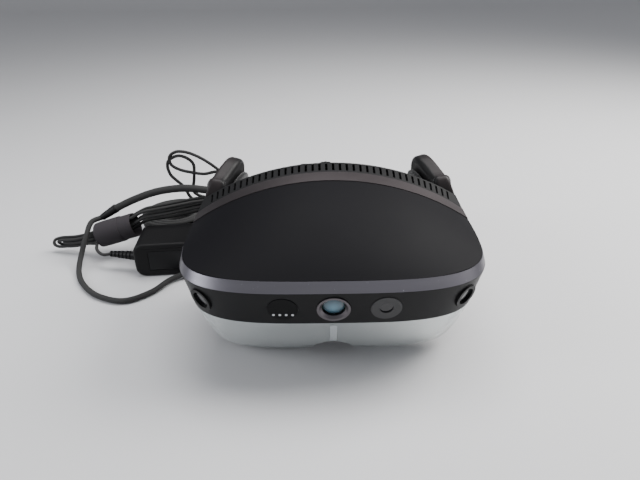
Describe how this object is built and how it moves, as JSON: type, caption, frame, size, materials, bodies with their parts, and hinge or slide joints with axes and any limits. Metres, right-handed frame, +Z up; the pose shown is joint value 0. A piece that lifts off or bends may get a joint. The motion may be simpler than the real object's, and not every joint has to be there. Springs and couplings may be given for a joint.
{
  "type": "see-through headset",
  "caption": "Tethered see-through headset with a clear two-lobed visor, domed cover, sensor bar, size dial at the back and its cable and power adapter",
  "frame": {"origin": "middle of the headset's box without its cords, on the table under it", "axes": "X across the face, +Y to the back of the head, +Z up; the sensors look along -Y"},
  "size_m": [0.356, 0.3244, 0.1118],
  "materials": {
    "cover_black": "matte dark shell, fine moulded grain",
    "trim_metal": "satin grey metal trim with worn edges",
    "rear_metal": "satin warm grey paint",
    "bar_black": "semi gloss black plastic",
    "vent_black": "matte black slotted band",
    "visor_clear": "clear coated visor with a faint blue green tint",
    "inner_plastic": "dark inner housing",
    "display_glass": "clear cover glass",
    "panel_dark": "dark display panel",
    "circuit_board": "green solder mask",
    "spreader_metal": "bare aluminium fins",
    "screw_steel": "zinc plated steel",
    "lens_ring": "satin grey ring",
    "camera_glass": "blue coated glass",
    "sensor_grey": "grey sensor window",
    "window_dark": "infrared window",
    "led_clear": "clear emitter lenses",
    "arm_grey": "grey soft touch plastic",
    "pad_fabric": "black knitted fabric over foam",
    "yoke_black": "satin black plastic",
    "knob_rubber": "fluted rubber grip",
    "gear_nylon": "natural nylon",
    "button_grey": "grey plastic",
    "cord_black": "black cable jacket",
    "adapter_black": "textured black plastic",
    "strap_black": "woven tie wrap"
  },
  "bodies": {
    "headset": {"adapter_board": "circuit_board", "adapter_case": "adapter_black", "adapter_inlet": "adapter_black", "adapter_lid": "adapter_black", "arm_screws": "screw_steel", "cable_gland": "cord_black", "cable_splitter": "cord_black", "camera_lens": "camera_glass", "camera_ring": "lens_ring", "data_coil": "cord_black", "data_lead": "cord_black", "data_plug": "cord_black", "depth_lens": "window_dark", "depth_window": "sensor_grey", "display_frame": "inner_plastic", "display_glass": "display_glass", "display_panel": "panel_dark", "emitter_leds": "led_clear", "emitter_window": "window_dark", "forehead_pad": "pad_fabric", "forehead_pad_plate": "inner_plastic", "front_cover": "cover_black", "front_trim": "trim_metal", "hank_wrap": "strap_black", "heat_spreader": "spreader_metal", "housing_screws": "screw_steel", "left_arm": "arm_grey", "left_arm_pad": "pad_fabric", "left_tracker_bezel": "lens_ring", "lower_housing": "inner_plastic", "main_board": "circuit_board", "power_hank": "cord_black", "power_lead": "cord_black", "power_loops": "cord_black", "power_plug": "cord_black", "power_relief": "cord_black", "rear_plate": "inner_plastic", "rear_trim": "rear_metal", "right_arm": "arm_grey", "right_arm_pad": "pad_fabric", "right_tracker_bezel": "lens_ring", "sensor_bar": "bar_black", "sensor_board": "circuit_board", "tether_cable": "cord_black", "tracker_windows": "window_dark", "vent_grille": "vent_black", "visor": "visor_clear"},
    "yoke": {"rear_yoke": "yoke_black", "dial_housing": "yoke_black", "rear_pad_right": "pad_fabric", "rear_pad_left": "pad_fabric"},
    "dial": {"dial_knob": "knob_rubber", "dial_pinion": "gear_nylon"},
    "rack_upper": {"upper_rack": "gear_nylon"},
    "rack_lower": {"lower_rack": "gear_nylon"},
    "volume_up": {"volume_up_button": "button_grey"},
    "volume_down": {"volume_down_button": "button_grey"},
    "brightness_up": {"brightness_up_button": "button_grey"},
    "brightness_down": {"brightness_down_button": "button_grey"}
  },
  "joints": [
    {"name": "size_slide", "type": "slide", "parent": "headset", "child": "yoke", "axis": [0, 1, 0], "range_m": [-0.008, 0.016]},
    {"name": "dial_turn", "type": "hinge", "parent": "yoke", "child": "dial", "pos_m": [0, 0.1562, 0.019], "axis": [0, 1, 0], "range_deg": [-116, 59]},
    {"name": "upper_rack_slide", "type": "slide", "parent": "yoke", "child": "rack_upper", "axis": [1, 0, 0], "range_m": [-0.0162, 0.0082]},
    {"name": "lower_rack_slide", "type": "slide", "parent": "yoke", "child": "rack_lower", "axis": [1, 0, 0], "range_m": [-0.0082, 0.0162]},
    {"name": "volume_up_press", "type": "slide", "parent": "headset", "child": "volume_up", "axis": [0, 0, 1], "range_m": [0, 0.0006], "stiffness_N_per_m": 600, "springref_m": -0.0008},
    {"name": "volume_down_press", "type": "slide", "parent": "headset", "child": "volume_down", "axis": [0, 0, 1], "range_m": [0, 0.0006], "stiffness_N_per_m": 600, "springref_m": -0.0008},
    {"name": "brightness_up_press", "type": "slide", "parent": "headset", "child": "brightness_up", "axis": [0, 0, 1], "range_m": [0, 0.0006], "stiffness_N_per_m": 600, "springref_m": -0.0008},
    {"name": "brightness_down_press", "type": "slide", "parent": "headset", "child": "brightness_down", "axis": [0, 0, 1], "range_m": [0, 0.0006], "stiffness_N_per_m": 600, "springref_m": -0.0008}
  ],
  "couplings": [
    {"joint": "dial_turn", "follows": "size_slide", "rad_per_m": -125},
    {"joint": "upper_rack_slide", "follows": "size_slide", "ratio": -1},
    {"joint": "lower_rack_slide", "follows": "size_slide", "ratio": 1}
  ]
}
